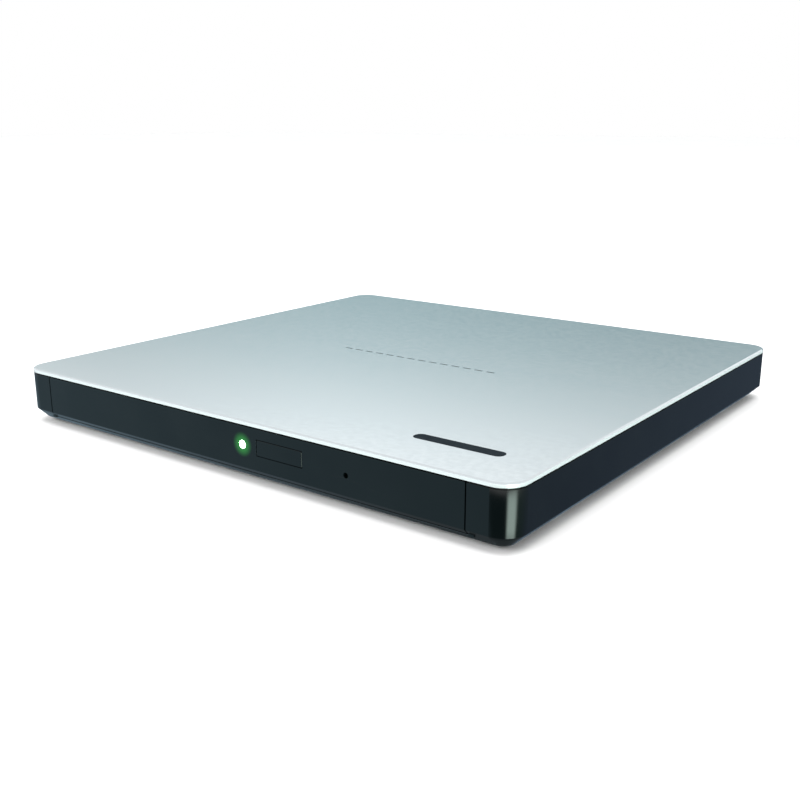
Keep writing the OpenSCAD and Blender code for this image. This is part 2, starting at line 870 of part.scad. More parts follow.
// Pockets in the tray's front wall for the button, the light pipe and the emergency pin
module front_pockets() {
    block(button_x - button_w / 2 - 1, button_x + button_w / 2 + 1, bezel_back - 1, wall_back - 0.05,
        button_z - button_h / 2 - 0.7, far);
    block(button_x - 1.5, button_x + 1.5, bezel_back - 1, wall_back + 1, nub_z0 - 0.2, button_z);
    block(led_x - led_d / 2 - part_gap, led_x + led_d / 2 + part_gap, bezel_back - 1, wall_back - 0.05,
        board_top, button_z + led_d / 2 + part_gap);
    block(led_x - led_d / 2 - part_gap, led_x + led_d / 2 + part_gap, bezel_back - 1, wall_back + 1,
        board_top, under_z);
    rod_y(pinhole_x, pin_z, pinhole_d / 2 + 0.2, bezel_back - 1, wall_back + 1);
    for (x = [-tab_x, tab_x])
        post(x, peg_y, peg_r + 0.05, deck_under - 1, far);
}

module tray_bezel() {
    slope = belly_inset / belly_rise;
    color([0.1, 0.11, 0.12]) {
        difference() {
            profile_x([
                [bezel_back, bezel_z0],
                [front_y + (band_z - bezel_z0) * slope, bezel_z0],
                [front_y, band_z],
                [front_y, bezel_z1],
                [bezel_back, bezel_z1]
            ], -bezel_x, bezel_x);
            block(button_x - button_w / 2 - button_gap, button_x + button_w / 2 + button_gap, front_y - 1,
                bezel_back + 1, button_z - button_h / 2 - button_gap, button_z + button_h / 2 + button_gap);
            rod_y(led_x, button_z, led_d / 2 + 0.05, front_y - 1, bezel_back + 1);
            rod_y(pinhole_x, pin_z, pinhole_d / 2, front_y - 1, bezel_back + 1);
        }
        for (x = [-tab_x, tab_x]) {
            block(x - tab_w / 2, x + tab_w / 2, bezel_back, bezel_back + tab_l, deck_z, deck_z + tab_t);
            post(x, peg_y, peg_r, deck_z - 1, deck_z);
        }
    }
}

// A clear light pipe from the light on the board to the bezel's face
module led_lens() {
    color("palegreen") {
        rod_y(led_x, button_z, led_d / 2, front_y, bezel_back + 0.2);
        block(led_x - led_d / 2, led_x + led_d / 2, bezel_back + 0.2, wall_back - 0.15, board_top + 0.1,
            button_z + led_d / 2);
    }
}

module status_led() {
    color("lime")
        block(led_x - 0.8, led_x + 0.8, board_front + 0.1, board_front + 1.3, board_top, board_top + 0.8);
}

module tray_bottom_plate() {
    color("lightgray")
        difference() {
            block(-skirt_in + 0.3, 26.2, wall_back + 16, tray_back - skirt_t - 0.3, tray_z, tray_z + plate_t);
            for (p = cover_boss_places)
                post(p[0], p[1], mount_screw_r + part_gap, 0, far);
            at_spindle() {
                for (p = damper_places)
                    post(p[0], p[1], 1.9, 0, far);
                post(0, 0, 6, 0, far);
            }
        }
}

module tray_screws() {
    color("silver")
        for (p = cover_boss_places)
            translate([p[0], p[1], tray_z - 0.25])
                mirror([0, 0, 1])
                    pan_screw(mount_screw_r, 2.2, 1.2, 0.25);
}

module main_board() {
    color("darkgreen")
        translate([0, 0, board_z])
            linear_extrude(board_t)
                difference() {
                    polygon([
                        [-12, board_front], [29, board_front], [29, front_y + 21.5], [41.5, front_y + 21.5],
                        [41.5, tray_back - 4], [26.8, tray_back - 4], [26.8, -30], [16, -40], [-12, -40]
                    ]);
                    for (p = [[-8, -44], [30.5, tray_back - 8]])
                        translate(p)
                            circle(0.8);
                }
}

module board_chips() {
    z = board_top;
    color([0.12, 0.12, 0.13]) {
        block(28.4, 38.4, -22, -12, z, z + 0.9);
        block(30, 37, -4, 4, z, z + 0.8);
        block(30, 36, 12, 19, z, z + 0.9);
        block(-6, 2, -50, -45, z, z + 0.8);
    }
}

module eject_switch() {
    color("gainsboro") {
        block(button_x - 2.4, button_x + 2.4, board_front + 0.3, board_front + 3, board_top, board_top + 0.9);
        block(button_x - 0.8, button_x + 0.8, board_front + 0.1, board_front + 0.3, board_top + 0.2,
            board_top + 0.7);
    }
}

module tray_flex_connector() {
    color("ivory")
        difference() {
            block(ffc_x0 - ffc_side, ffc_x0 + ffc_w + ffc_side, ffc_tray_y - 2, ffc_tray_y + 2,
                ffc_high_z - 0.35, board_z);
            block(ffc_x0, ffc_x0 + ffc_w, ffc_tray_y - 3, ffc_tray_y, ffc_high_z, ffc_high_z + ffc_t);
        }
}

// ---- Traverse unit ----

module traverse_frame() {
    color("gainsboro")
        at_spindle() {
            difference() {
                translate([0, 0, plate_z])
                    linear_extrude(frame_t)
                        frame_outline();
                block(window_u0, window_u1, window_v0, window_v1, 0, far);
                block(window_u0 + 3.5, screw_end + 0.2, screw_v - screw_r - 0.5, window_v0 + 1, 0, far);
                for (p = damper_places)
                    post(p[0], p[1], mount_screw_r + part_gap, 0, far);
            }
            for (v = [-rod_v, rod_v]) {
                rod_block(v, window_u0 - rod_seat_in, window_u0);
                rod_block(v, window_u1, window_u1 + rod_seat_out);
            }
        }
}

module frame_outline() {
    difference() {
        polygon([
            [-17, -17], [4, -24], [frame_outer - 9, -24], [frame_outer, -15], [frame_outer, 16],
            [frame_outer - 7, frame_v], [4, frame_v], [-17, 17]
        ]);
        circle(bush_r);
    }
}

// The block that holds one end of a guide rod
module rod_block(v, u0, u1) {
    difference() {
        block(u0, u1, v - rod_block_w / 2, v + rod_block_w / 2, plate_top, under_z - 0.05);
        rod_x(v, rod_z, rod_r, u0 - 1, u1 + 1);
    }
}

module traverse_dampers() {
    color([0.15, 0.15, 0.15])
        at_spindle()
            for (p = damper_places)
                translate([p[0], p[1], 0])
                    ring(mount_r, mount_screw_r + 0.05, plate_top, plate_top + damper_h);
}

module traverse_screws() {
    color("silver")
        at_spindle()
            for (p = damper_places)
                translate([p[0], p[1], plate_z - 0.5])
                    mirror([0, 0, 1])
                        pan_screw(mount_screw_r, 2.5, 1.4, 0.5);
}

module motor_base() {
    color("peru")
        at_spindle()
            difference() {
                union() {
                    post(0, 0, motor_base_r, plate_top, plate_top + motor_base_t);
                    block(-16, -8, -5, 5, plate_top, plate_top + motor_base_t);
                }
                post(0, 0, bush_r, 0, far);
            }
}

// The bronze bearing cup that the spindle turns in
module motor_bush() {
    color("goldenrod")
        at_spindle()
            difference() {
                post(0, 0, bush_r, plate_z, rotor_z1 - rotor_t - 0.3);
                post(0, 0, shaft_r + running_gap, plate_z + 0.25, far);
            }
}

module motor_stator() {
    core_z0 = plate_top + motor_base_t + part_gap;
    core_z1 = rotor_z1 - rotor_t - 0.4;
    color("chocolate")
        at_spindle() {
            ring(bush_r + 1.4, bush_r, plate_top + motor_base_t, core_z1);
            for (a = [0 : 360 / stator_teeth : 359])
                rotate([0, 0, a]) {
                    block(bush_r + 1, rotor_r - rotor_t - 1.7, -0.8, 0.8, core_z0, core_z1);
                    block(rotor_r - rotor_t - 2.2, rotor_r - rotor_t - 1.4, -1.7, 1.7, core_z0, core_z1);
                }
        }
}

module guide_rods() {
    color("silver")
        at_spindle()
            for (v = [-rod_v, rod_v])
                rod_x(v, rod_z, rod_r, window_u0 - rod_seat_in, window_u1 + rod_seat_out);
}

module stepper_motor() {
    color("lightgray")
        at_spindle()
            difference() {
                intersection() {
                    rod_x(screw_v, screw_z, stepper_r, stepper_u0, stepper_u1);
                    block(0, 20, screw_v - 4, screw_v + 4, plate_top, under_z - 0.1);
                }
                rod_x(screw_v, screw_z, journal_r + running_gap, 15, 17);
            }
}

module screw_bracket() {
    color("lightgray")
        at_spindle()
            difference() {
                block(screw_end + 0.3, screw_end + 2.1, screw_v - 1.9, screw_v + 1.9, plate_top,
                    under_z - 0.1);
                rod_x(screw_v, screw_z, journal_r + running_gap, screw_end, screw_end + 4);
            }
}

// ---- Latch and ejector ----

module latch_solenoid() {
    color("chocolate") {
        block(solenoid_x - solenoid_w / 2, solenoid_x + solenoid_w / 2, solenoid_y0,
            solenoid_y0 + solenoid_cheek, lever_z, under_z - 0.1);
        rod_y(solenoid_x, (lever_z + under_z) / 2 - 0.05, (under_z - lever_z) / 2 - 0.2,
            solenoid_y0 + solenoid_cheek, solenoid_y0 + solenoid_l - solenoid_cheek);
        block(solenoid_x - solenoid_w / 2, solenoid_x + solenoid_w / 2,
            solenoid_y0 + solenoid_l - solenoid_cheek, solenoid_y0 + solenoid_l, lever_z, under_z - 0.1);
        rod_y(solenoid_x, lever_z + lever_t / 2 + 0.2, 0.5, solenoid_y0 - 0.3, solenoid_y0);
    }
}

module latch_pivot() {
    color("silver") {
        post(pivot[0], pivot[1], pivot_r, lever_z - 0.1, deck_under - 0.6);
        post(pivot[0], pivot[1], mount_r, lever_z - 0.3, lever_z - 0.1);
    }
}

// At rest the lever is drawn clear of the post on the chassis
module latch_lever() {
    tip_x = post_x + post_r + hook_clear - 0.1;
    color("ivory")
        difference() {
            union() {
                post(pivot[0], pivot[1], 2.2, lever_z, lever_z + lever_t);
                block(pivot[0] - 0.8, pivot[0] + 0.8, pivot[1], hook_y + 2.2, lever_z, lever_z + lever_t);
                block(tip_x, pivot[0], hook_y, hook_y + 2.2, lever_z, lever_z + lever_t);
                block(pinhole_x - 0.9, pivot[0], pivot[1] - 0.8, pivot[1] + 0.8, lever_z, lever_z + lever_t);
                block(pinhole_x - 0.9, pinhole_x + 0.9, pivot[1] - 0.8, pivot[1] + 0.8, lever_z,
                    deck_under - 0.35);
            }
            post(pivot[0], pivot[1], pivot_r + running_gap, 0, far);
        }
}

module ejector_plunger() {
    color("ivory") {
        rod_y(ejector_x, ejector_z, ejector_r, tray_back - ejector_l, ejector_tip);
        rod_y(ejector_x, ejector_z, 1.5, ejector_tip - 1, ejector_tip);
    }
}

// The spring that pushes the plunger out, drawn as the sleeve that its wire fills
module ejector_spring() {
    color("silver")
        difference() {
            rod_y(ejector_x, ejector_z, 1.4, tray_back, ejector_tip - 1);
            rod_y(ejector_x, ejector_z, ejector_r + 0.15, tray_back - 1, ejector_tip);
        }
}

// ---- Pieces that move ----

module rail() {
    y0 = runner_y0;
    y1 = tray_back - 1;
    block(rail_x - rail_t, rail_x, y0, y1, rail_z0, rail_z1);
    block(flange_x, rail_x, y0, y1, rail_z0, rail_z0 + rail_t);
    block(flange_x, rail_x, y0, y1, rail_z1 - rail_t, rail_z1);
}

module rail_left() {
    color("silver")
        mirror([1, 0, 0])
            rail();
}

module rail_right() {
    color("silver")
        rail();
}

module eject_button() {
    color([0.13, 0.14, 0.15]) {
        block(button_x - button_w / 2, button_x + button_w / 2, front_y, button_flange_y,
            button_z - button_h / 2, button_z + button_h / 2);
        block(button_x - button_w / 2 - 0.7, button_x + button_w / 2 + 0.7, button_flange_y,
            button_flange_y + 0.7, button_z - button_h / 2 - 0.4, button_z + button_h / 2 + 0.4);
        block(button_x - 1, button_x + 1, button_flange_y, button_flange_y + 0.7, nub_z0, button_z);
        block(button_x - 1, button_x + 1, button_flange_y, board_front - 0.1 - button_travel, nub_z0,
            nub_z0 + 0.6);
    }
}

module rotor_bell() {
    color("silver")
        at_spindle()
            difference() {
                post(0, 0, rotor_r, rotor_z0, rotor_z1);
                post(0, 0, rotor_r - rotor_t, 0, rotor_z1 - rotor_t);
                post(0, 0, shaft_r, 0, far);
            }
}

module magnet_ring() {
    color("dimgray")
        at_spindle()
            ring(rotor_r - rotor_t, rotor_r - rotor_t - 1, rotor_z0 + 0.1, rotor_z1 - rotor_t);
}

module spindle_shaft() {
    color("silver")
        at_spindle()
            post(0, 0, shaft_r, plate_z + 0.3, nose_z + 1);
}

module turntable() {
    color([0.85, 0.85, 0.83])
        at_spindle()
            difference() {
                union() {
                    post(0, 0, turntable_r, rotor_z1, nose_z);
                    post(0, 0, nose_r, nose_z, nose_top - 0.6);
                    translate([0, 0, nose_top - 0.6])
                        cylinder(r1 = nose_r, r2 = nose_r - 0.9, h = 0.6);
                }
                post(0, 0, shaft_r, 0, nose_z + 1);
                for (a = [0, 120, 240])
                    rotate([0, 0, a])
                        block(claw_slot, far, -claw_w / 2 - 0.15, claw_w / 2 + 0.15, claw_z0 - 0.1,
                            claw_z1 + 0.1);
                post(0, 0, 2, nose_z + 1.4, far);
            }
}

module disc_pad() {
    color([0.1, 0.1, 0.1])
        at_spindle()
            ring(turntable_r, turntable_r - 2.6, nose_z, seat_z);
}

// A claw that springs out over the disc's edge
module claw(angle) {
    color("whitesmoke")
        at_spindle(sled_angle + angle) {
            block(claw_back, nose_r - 0.1, -claw_w / 2, claw_w / 2, claw_z0, claw_z1);
            block(claw_back, claw_reach, -claw_w / 2, claw_w / 2, claw_lip_z, claw_z1);
        }
}

module claw_1() {
    claw(0);
}

module claw_2() {
    claw(120);
}

module claw_3() {
    claw(240);
}

module pickup_sled() {
    color("gray")
        at_spindle()
            difference() {
                union() {
                    block(lens_in - sled_in, lens_in + sled_out, -11.6, 11.6, sled_z0, sled_top);
                    block(lens_in - sled_in, lens_in + sled_out, -rod_v - 1.9, rod_v + 1.7, sled_z0,
                        sled_low);
                    block(lens_in - sled_in, lens_in - sled_in + 3, screw_v + screw_r + 0.2, -rod_v,
                        rod_z - 0.7, rod_z + 0.6);
                }
                rod_x(rod_v, rod_z, rod_r + running_gap, 0, far);
                rod_x(-rod_v, rod_z, rod_r + running_gap, 0, far);
                block(lens_in - 4, lens_in + 4, -6, 6, lens_pocket_z, far);
            }
}

module lens_holder() {
    color([0.15, 0.15, 0.16])
        at_spindle() {
            block(lens_in - holder_l / 2, lens_in + holder_l / 2, -holder_w / 2, holder_w / 2, holder_z0, holder_z1);
            translate([lens_in, 0, holder_z1])
                intersection() {
                    translate([0, 0, -lens_r])
                        sphere(r = lens_r * 1.2);
                    post(0, 0, lens_r, 0, 1);
                }
        }
}

module lead_screw() {
    color("silver")
        at_spindle() {
            rod_x(screw_v, screw_z, screw_r, screw_start, screw_end);
            rod_x(screw_v, screw_z, journal_r, journal_start, screw_end + 1.9);
        }
}

top_cover();
cover_badge();
bottom_case();
rubber_feet();
case_screws();
label_plate();
lower_chassis();
upper_chassis_cover();
chassis_screws();
rail_guide_left();
rail_guide_right();
foam_strips();
interface_card();
rear_flex_connector();
drive_plug();
bridge_socket();
bridge_board();
bridge_chips();
bridge_screws();
usb_shell();
usb_contact_block();
flex_cable();
tray();
tray_bezel();
led_lens();
status_led();
tray_bottom_plate();
tray_screws();
main_board();
board_chips();
eject_switch();
tray_flex_connector();
traverse_frame();
traverse_dampers();
traverse_screws();
motor_base();
motor_bush();
motor_stator();
guide_rods();
stepper_motor();
screw_bracket();
latch_solenoid();
latch_pivot();
ejector_spring();
rail_left();
rail_right();
eject_button();
rotor_bell();
magnet_ring();
spindle_shaft();
turntable();
disc_pad();
claw_1();
claw_2();
claw_3();
pickup_sled();
lens_holder();
lead_screw();
latch_lever();
ejector_plunger();
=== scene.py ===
"""Slim external optical drive: finish, small details, studio light and camera around the CAD frame."""
import json
import math

import bpy
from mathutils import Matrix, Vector


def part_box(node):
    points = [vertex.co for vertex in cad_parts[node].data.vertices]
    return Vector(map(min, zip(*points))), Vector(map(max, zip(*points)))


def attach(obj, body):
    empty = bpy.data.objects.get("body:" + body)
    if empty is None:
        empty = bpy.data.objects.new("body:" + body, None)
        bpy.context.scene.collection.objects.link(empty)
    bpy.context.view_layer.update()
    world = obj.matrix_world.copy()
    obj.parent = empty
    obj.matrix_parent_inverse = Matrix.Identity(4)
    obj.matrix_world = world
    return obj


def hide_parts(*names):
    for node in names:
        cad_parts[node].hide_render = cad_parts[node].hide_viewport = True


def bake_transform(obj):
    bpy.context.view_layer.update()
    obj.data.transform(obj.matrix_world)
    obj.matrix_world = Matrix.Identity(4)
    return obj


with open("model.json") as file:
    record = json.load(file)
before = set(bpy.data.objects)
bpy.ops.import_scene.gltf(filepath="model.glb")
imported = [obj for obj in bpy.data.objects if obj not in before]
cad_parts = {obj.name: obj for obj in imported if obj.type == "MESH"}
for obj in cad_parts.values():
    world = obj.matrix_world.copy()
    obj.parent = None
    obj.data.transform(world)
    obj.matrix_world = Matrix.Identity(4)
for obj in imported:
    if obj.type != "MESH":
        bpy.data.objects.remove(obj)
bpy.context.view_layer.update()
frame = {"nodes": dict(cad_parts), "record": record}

MM = 0.001
MICRON = 0.000001
NODES = frame["nodes"]
RECORD = frame["record"]
WHITE = (1, 1, 1)


# ---- Camera and lights ----

CAMERA_AT = Vector((152.8, -208.9, 74.9)) * MM
CAMERA_LOOK = Vector((-0.5782, 0.7693, -0.2718))
LENS_MM = 44.9
SENSOR_MM = 36.0

# Overhead, the surround's brightness follows a direction's part along this axis, from low to high.
SURROUND_AXIS = (0.18, -0.4, 0.9)
SURROUND_REACH = (-0.3, 0.1)
SURROUND_ABOVE = ((0.0, (0.22, 0.37, 0.40)), (0.10, (0.285, 0.43, 0.46)), (0.17, (0.36, 0.495, 0.53)),
                  (0.23, (0.50, 0.64, 0.655)), (0.31, (0.62, 0.76, 0.79)), (0.375, (0.89, 0.99, 0.99)),
                  (0.44, (1.21, 1.25, 1.24)), (0.49, (1.5, 1.5, 1.5)), (0.62, (1.3, 1.3, 1.3)),
                  (1.0, (1.06, 1.06, 1.06)))
# Behind the object it falls off to both sides, low down. These are greys by the direction round the object.
SURROUND_SIDES = tuple((place, (grey, grey, grey)) for place, grey in (
    (0.0, 1), (0.70, 1), (0.78, 0.80), (0.807, 0.82), (0.834, 0.93), (0.855, 1), (0.868, 1), (0.886, 0.91),
    (0.90, 0.82), (0.93, 0.80), (1.0, 1)))
# Below the horizon it follows the direction round the object, and has one tall bright panel.
SURROUND_BELOW = ((0.0, (0.30, 0.42, 0.50)), (0.165, (0.30, 0.45, 0.52)), (0.20, (0.05, 0.08, 0.08)),
                  (0.365, (0.04, 0.06, 0.06)), (0.395, (5.4, 6.8, 6.2)), (0.465, (5.4, 6.8, 6.2)),
                  (0.50, (0.16, 0.26, 0.23)), (0.64, (0.125, 0.17, 0.235)), (0.72, (0.10, 0.135, 0.19)),
                  (1.0, (0.30, 0.42, 0.50)))
SURROUND_FLOOR = (0.10, 0.12, 0.13)
# How far up a direction points where one part of the surround fades into the next.
FLOOR_FADE = (-0.75, -0.5)
HORIZON_FADE = (-0.06, 0.02)
SIDES_FADE = (0.45, 0.75)


def make_camera():
    data = bpy.data.cameras.new("camera")
    data.lens = LENS_MM
    data.sensor_width = SENSOR_MM
    camera = bpy.data.objects.new("camera", data)
    camera.location = CAMERA_AT
    camera.rotation_euler = CAMERA_LOOK.to_track_quat("-Z", "Y").to_euler()
    bpy.context.scene.collection.objects.link(camera)
    bpy.context.scene.camera = camera


def make_light(name, at, size, watts):
    """A soft rectangular lamp that faces the object and isn't seen in reflections."""
    data = bpy.data.lights.new(name, "AREA")
    data.shape = "RECTANGLE"
    data.size, data.size_y = size
    data.energy = watts
    lamp = bpy.data.objects.new(name, data)
    lamp.location = at
    lamp.rotation_euler = (-Vector(at)).to_track_quat("-Z", "Y").to_euler()
    lamp.visible_glossy = False
    bpy.context.scene.collection.objects.link(lamp)


def connect(tree, value, socket):
    """Links value to the socket, or sets it there if it's a number, a vector or a colour."""
    if hasattr(value, "is_output"):
        tree.links.new(value, socket)
    elif socket.type == "RGBA":
        socket.default_value = (*value, 1)
    else:
        socket.default_value = value


def mix_colours(tree, factor, a, b, blend="MIX"):
    """Colour a where factor is 0, and b where it is 1."""
    made = tree.nodes.new("ShaderNodeMix")
    made.data_type = "RGBA"
    made.blend_type = blend
    for socket, value in ((made.inputs[0], factor), (made.inputs[6], a), (made.inputs[7], b)):
        connect(tree, value, socket)
    return made.outputs[2]


def part_way(tree, value, low, high):
    """How far value has come from low to high, 0 to 1."""
    made = tree.nodes.new("ShaderNodeMapRange")
    made.inputs["From Min"].default_value = low
    made.inputs["From Max"].default_value = high
    connect(tree, value, made.inputs["Value"])
    return made.outputs[0]


def colour_ramp(tree, value, stops):
    made = tree.nodes.new("ShaderNodeValToRGB")
    elements = made.color_ramp.elements
    elements[0].color = (*stops[0][1], 1)
    elements[1].color = (*stops[-1][1], 1)
    for place, colour in stops[1:-1]:
        elements.new(place).color = (*colour, 1)
    connect(tree, value, made.inputs[0])
    return made.outputs[0]


def make_world():
    """A studio surround, pale overhead and dim at table height, behind a plain white backdrop."""
    world = bpy.data.worlds.new("studio")
    world.use_nodes = True
    tree = world.node_tree
    tree.nodes.clear()
    new, link = tree.nodes.new, tree.links.new
    coords = new("ShaderNodeTexCoord").outputs["Generated"]
    split = new("ShaderNodeSeparateXYZ")
    link(coords, split.inputs[0])
    up = split.outputs["Z"]
    tilt = new("ShaderNodeVectorMath")
    tilt.operation = "DOT_PRODUCT"
    tilt.inputs[1].default_value = SURROUND_AXIS
    link(coords, tilt.inputs[0])
    reach = part_way(tree, tilt.outputs["Value"], *SURROUND_REACH)
    turn = new("ShaderNodeMath")
    turn.operation = "ARCTAN2"
    link(split.outputs["Y"], turn.inputs[0])
    link(split.outputs["X"], turn.inputs[1])
    around = part_way(tree, turn.outputs[0], -math.pi, math.pi)

    sides = mix_colours(tree, part_way(tree, up, *SIDES_FADE), colour_ramp(tree, around, SURROUND_SIDES), WHITE)
    above = mix_colours(tree, 1.0, colour_ramp(tree, reach, SURROUND_ABOVE), sides, "MULTIPLY")
    below = mix_colours(tree, part_way(tree, up, *FLOOR_FADE), SURROUND_FLOOR,
                        colour_ramp(tree, around, SURROUND_BELOW))
    surround = new("ShaderNodeBackground")
    link(mix_colours(tree, part_way(tree, up, *HORIZON_FADE), below, above), surround.inputs["Color"])
    backdrop = new("ShaderNodeBackground")
    backdrop.inputs["Color"].default_value = (*WHITE, 1)
    choose = new("ShaderNodeMixShader")
    link(new("ShaderNodeLightPath").outputs["Is Camera Ray"], choose.inputs[0])
    link(surround.outputs[0], choose.inputs[1])
    link(backdrop.outputs[0], choose.inputs[2])
    link(choose.outputs[0], new("ShaderNodeOutputWorld").inputs[0])
    bpy.context.scene.world = world


# ---- Material building blocks ----

class Shader:
    """A Principled material with object coordinates and short ways to add texture."""

    def __init__(self, name, colour, metallic=0.0, roughness=0.5, coat=0.0, ior=1.5):
        self.material = bpy.data.materials.new(name)
        self.material.use_nodes = True
        self.tree = self.material.node_tree
        self.bsdf = self.tree.nodes["Principled BSDF"]
        self.set("Base Color", (*colour, 1))
        self.set("Metallic", metallic)
        self.set("Roughness", roughness)
        self.set("IOR", ior)
        self.set("Coat Weight", coat)
        self.set("Coat Roughness", 0.06)
        self.colour = colour
        place = self.tree.nodes.new("ShaderNodeTexCoord")
        self.coords = place.outputs["Object"]
        self.facing = place.outputs["Normal"]
        self.last_bump = None

    def set(self, socket, value):
        self.bsdf.inputs[socket].default_value = value

    def drive(self, socket, value):
        self.tree.links.new(value, self.bsdf.inputs[socket])

    def node(self, kind, **inputs):
        made = self.tree.nodes.new(kind)
        for key, value in inputs.items():
            connect(self.tree, value, made.inputs[key.replace("_", " ")])
        return made

    def stretch(self, factors, turn=0.0):
        """Object coordinates scaled per axis, turned about Z first."""
        made = self.node("ShaderNodeMapping", Vector=self.coords, Rotation=(0, 0, turn), Scale=factors)
        return made.outputs[0]

    def noise(self, scale, detail=3.0, coords=None):
        made = self.node("ShaderNodeTexNoise", Scale=scale, Detail=detail, Vector=coords or self.coords)
        return made.outputs[0]

    def cells(self, scale):
        return self.node("ShaderNodeTexVoronoi", Scale=scale, Vector=self.coords).outputs["Distance"]

    def remap(self, value, low, high, to_low=0.0, to_high=1.0):
        made = self.node("ShaderNodeMapRange", Value=value, From_Min=low, From_Max=high, To_Min=to_low,
                         To_Max=to_high)
        made.interpolation_type = "SMOOTHSTEP"
        return made.outputs[0]

    def mix(self, factor, a, b):
        return mix_colours(self.tree, factor, a, b)

    def tint(self, value, low, high, a, b):
        """Colour a where value is at low, and b where it is at high."""
        return self.mix(self.remap(value, low, high), a, b)

    def math(self, operation, a, b=0.0):
        made = self.tree.nodes.new("ShaderNodeMath")
        made.operation = operation
        connect(self.tree, a, made.inputs[0])
        connect(self.tree, b, made.inputs[1])
        return made.outputs[0]

    def axes(self):
        return self.node("ShaderNodeSeparateXYZ", Vector=self.coords).outputs

    def within(self, value, low, high, soft):
        """1 where value lies from low to high, 0 elsewhere."""
        rise = self.remap(value, low - soft, low + soft)
        fall = self.remap(value, high - soft, high + soft, 1.0, 0.0)
        return self.math("MULTIPLY", rise, fall)

    def repeat(self, value, pitch):
        """Runs from 0 to 1 again and again along value, once per pitch."""
        return self.math("FRACT", self.math("MULTIPLY", value, 1 / pitch))

    def distance(self, u, v, centre):
        """The distance of the point u, v from the centre."""
        du, dv = (self.math("SUBTRACT", value, middle) for value, middle in zip((u, v), centre))
        squares = self.math("ADD", self.math("MULTIPLY", du, du), self.math("MULTIPLY", dv, dv))
        return self.math("SQRT", squares)

    def paint(self, value):
        self.drive("Base Color", value)

    def shade(self, value, low, high):
        """Varies the roughness from low to high with a 0 to 1 value."""
        self.drive("Roughness", self.remap(value, 0.3, 0.7, low, high))

    def bump(self, height, microns):
        made = self.node("ShaderNodeBump", Distance=microns * MICRON, Strength=1.0, Height=height)
        if self.last_bump:
            self.tree.links.new(self.last_bump, made.inputs["Normal"])
        self.last_bump = made.outputs[0]
        self.drive("Normal", self.last_bump)

    def vary(self, scale, amount):
        """Mottles the base colour a little, up and down."""
        low = tuple(c * (1 - amount) for c in self.colour)
        high = tuple(min(1.0, c * (1 + amount)) for c in self.colour)
        self.paint(self.tint(self.noise(scale), 0.35, 0.65, low, high))


# ---- Materials ----

def moulded(name, colour, roughness, grain, depth):
    """Moulded plastic with a fine spark-eroded grain, its depth in microns."""
    s = Shader(name, colour, roughness=roughness)
    s.vary(220, 0.06)
    s.shade(s.noise(500), roughness - 0.05, roughness + 0.07)
    s.bump(s.cells(grain), depth)
    s.bump(s.noise(grain * 0.6), depth * 0.6)
    return s


def gloss_black(name):
    """Glossy black plastic with faint smudges and hairline scratches."""
    s = Shader(name, (0.002, 0.0035, 0.004), roughness=0.16)
    smudge = s.noise(60, detail=4)
    s.paint(s.tint(smudge, 0.35, 0.7, (0.0012, 0.0024, 0.0028), (0.0028, 0.0045, 0.005)))
    s.shade(smudge, 0.12, 0.24)
    s.bump(s.noise(900, coords=s.stretch((1, 1, 0.12), 0.4)), 1.8)
    return s


def silver_paint():
    """Satin silver paint with fine flake, faint brushed drift, a row of plain printed dashes, and a painted
    highlight on the faces that turn away from up.
    """
    s = Shader("silver_cover", (0.66, 0.71, 0.74), metallic=1.0, roughness=0.19)
    flake = s.noise(9000, detail=1)
    drift = s.noise(30, coords=s.stretch((0.4, 3.0, 1)))
    tone = s.tint(flake, 0.35, 0.65, (0.61, 0.665, 0.695), (0.71, 0.755, 0.785))
    tone = s.mix(s.remap(drift, 0.3, 0.7, 0.0, 0.4), tone, (0.69, 0.73, 0.75))
    x, y, _ = s.axes()
    row = s.within(y, -3.2 * MM, -2.5 * MM, 0.08 * MM)
    span = s.within(x, -21 * MM, 28 * MM, 0.2 * MM)
    beat = s.repeat(x, 3.5 * MM)
    dash = s.math("MULTIPLY", s.within(beat, 0.1, 0.78, 0.02), s.math("MULTIPLY", row, span))
    # Painted highlight: the lid's sides and edges, whose normals turn away from up, are painted a paler, less
    # metallic silver in place of the light they catch.
    upward = s.node("ShaderNodeSeparateXYZ", Vector=s.facing).outputs["Z"]
    rim = s.remap(upward, 0.1, 0.6, 1.0, 0.0)
    tone = s.mix(rim, tone, (0.86, 0.89, 0.90))
    s.paint(s.mix(dash, tone, (0.10, 0.12, 0.13)))
    s.drive("Metallic", s.remap(rim, 0.0, 1.0, 1.0, 0.2))
    s.shade(s.noise(700), 0.17, 0.22)
    s.bump(flake, 0.7)
    s.bump(s.noise(2600, detail=2), 1.1)
    return s


def sheet_metal(name, colour=(0.58, 0.60, 0.62), roughness=0.34, streak=(1, 14, 1)):
    """Rolled and plated sheet with streaks along its length and a little staining."""
    s = Shader(name, colour, metallic=1.0, roughness=roughness)
    grain = s.noise(420, detail=4, coords=s.stretch(streak))
    dull = tuple(c * 0.82 for c in colour)
    s.paint(s.tint(s.noise(45, detail=4), 0.4, 0.75, colour, dull))
    s.shade(grain, roughness - 0.08, roughness + 0.12)
    s.bump(grain, 4)
    return s


def polished_steel(name, colour=(0.74, 0.75, 0.77)):
    """Ground steel with fine turning marks."""
    s = Shader(name, colour, metallic=1.0, roughness=0.16)
    marks = s.noise(2400, detail=2)
    s.vary(300, 0.05)
    s.shade(marks, 0.10, 0.24)
    s.bump(marks, 1.5)
    return s


def soft_rubber(name, colour):
    s = Shader(name, colour, roughness=0.82)
    s.vary(260, 0.25)
    s.shade(s.noise(900), 0.74, 0.9)
    s.bump(s.noise(2600, detail=4), 15)
    return s


def closed_foam():
    s = Shader("foam", (0.03, 0.03, 0.034), roughness=0.95)
    s.vary(700, 0.4)
    s.shade(s.noise(700), 0.9, 1.0)
    s.bump(s.cells(1800), 80)
    return s


